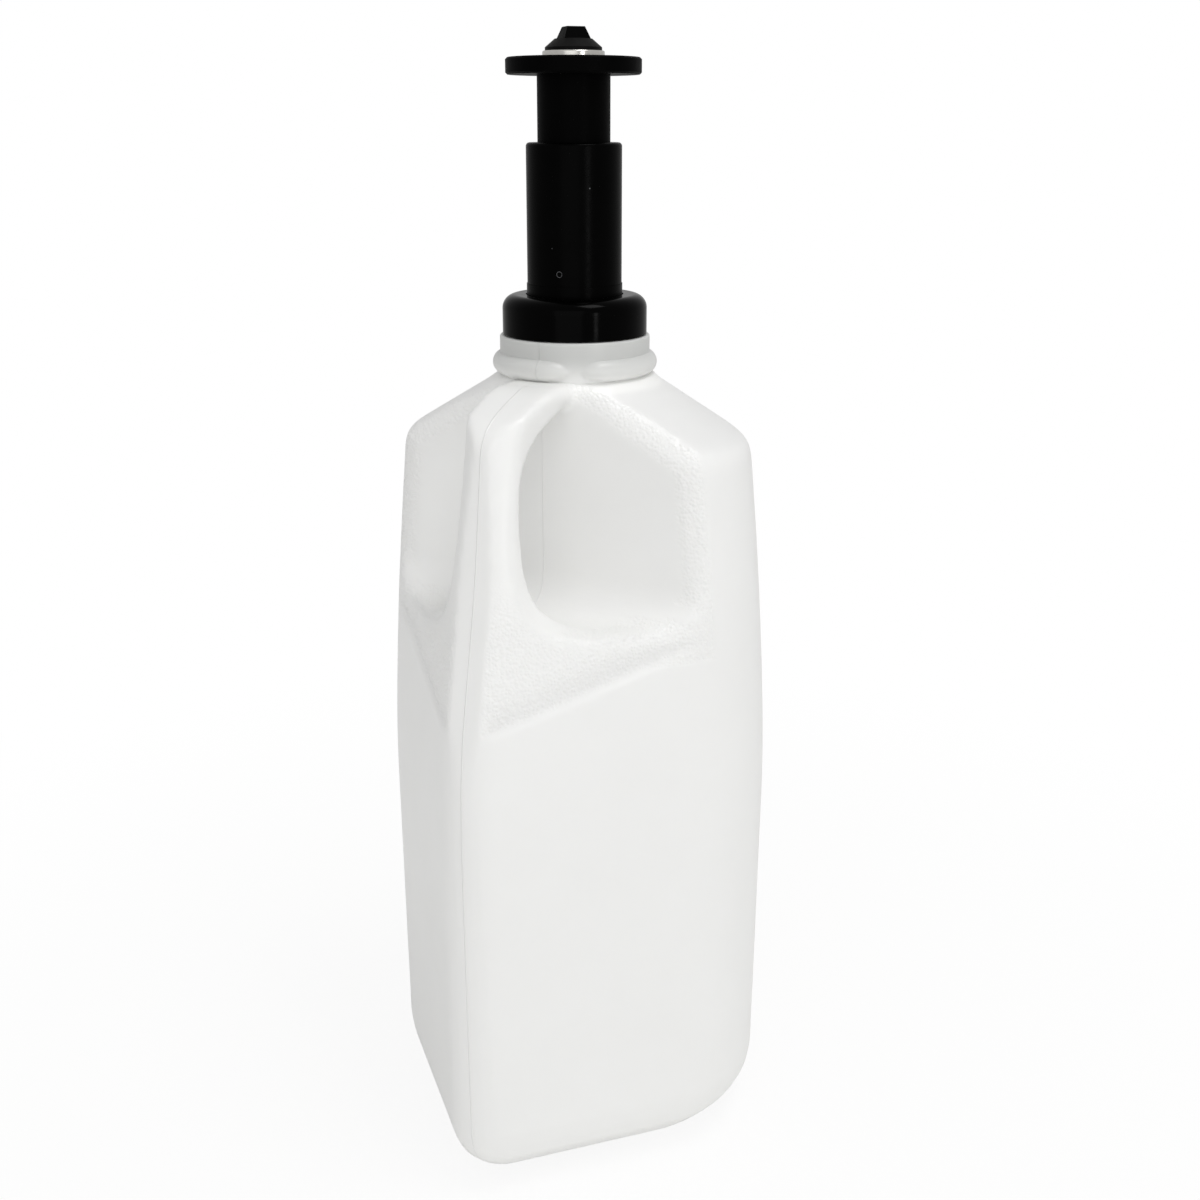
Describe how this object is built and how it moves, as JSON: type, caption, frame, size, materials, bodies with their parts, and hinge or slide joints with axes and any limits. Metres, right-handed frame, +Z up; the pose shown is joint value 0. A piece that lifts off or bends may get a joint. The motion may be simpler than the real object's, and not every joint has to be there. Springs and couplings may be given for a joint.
{
  "type": "detergent dispenser bottle",
  "caption": "Translucent half-gallon handled jug with a push-to-dispense metering valve screwed on its neck, used inverted to dose laundry detergent.",
  "frame": {"origin": "on the neck axis, in the plane the jug stands on", "axes": "+Z up along the neck axis; the jug's faces look along X and Y; the handle is on the (-X, -Y) corner"},
  "size_m": [0.1032, 0.1032, 0.3212],
  "materials": {
    "natural_hdpe": "satin, milky translucent natural polyethylene",
    "cap_black": "glossy black polypropylene",
    "barrel_black": "semi-gloss black plastic",
    "plunger_black": "matte black acetal",
    "rubber_black": "matte black rubber",
    "stainless": "polished stainless steel"
  },
  "bodies": {
    "bottle": {"bottle": "natural_hdpe"},
    "valve": {"barrel": "barrel_black", "cap_gasket": "rubber_black", "stem_carrier": "plunger_black", "valve_stem": "stainless", "stem_washer": "stainless", "stem_nut": "stainless", "inlet_stopper": "plunger_black", "inlet_o_ring": "rubber_black", "stopper_clip": "stainless", "spring_washer": "stainless", "return_spring": "stainless", "valve_seal": "rubber_black", "valve_nose": "plunger_black"},
    "cap": {"cap": "cap_black"},
    "plunger": {"plunger": "plunger_black", "seat_ring": "stainless", "plunger_o_ring": "rubber_black"}
  },
  "joints": [
    {"name": "valve_lift", "type": "slide", "parent": "bottle", "child": "valve", "axis": [0, 0, 1], "range_m": [0, 0.00635]},
    {"name": "cap_turn", "type": "hinge", "parent": "valve", "child": "cap", "pos_m": [0, 0, 0.245], "axis": [0, 0, 1], "range_deg": [0, 540]},
    {"name": "plunger_push", "type": "slide", "parent": "valve", "child": "plunger", "axis": [0, 0, -1], "range_m": [0, 0.015], "stiffness_N_per_m": 400, "deforming": ["return_spring"]}
  ],
  "couplings": [
    {"joint": "cap_turn", "follows": "valve_lift", "rad_per_m": 1484.2}
  ]
}
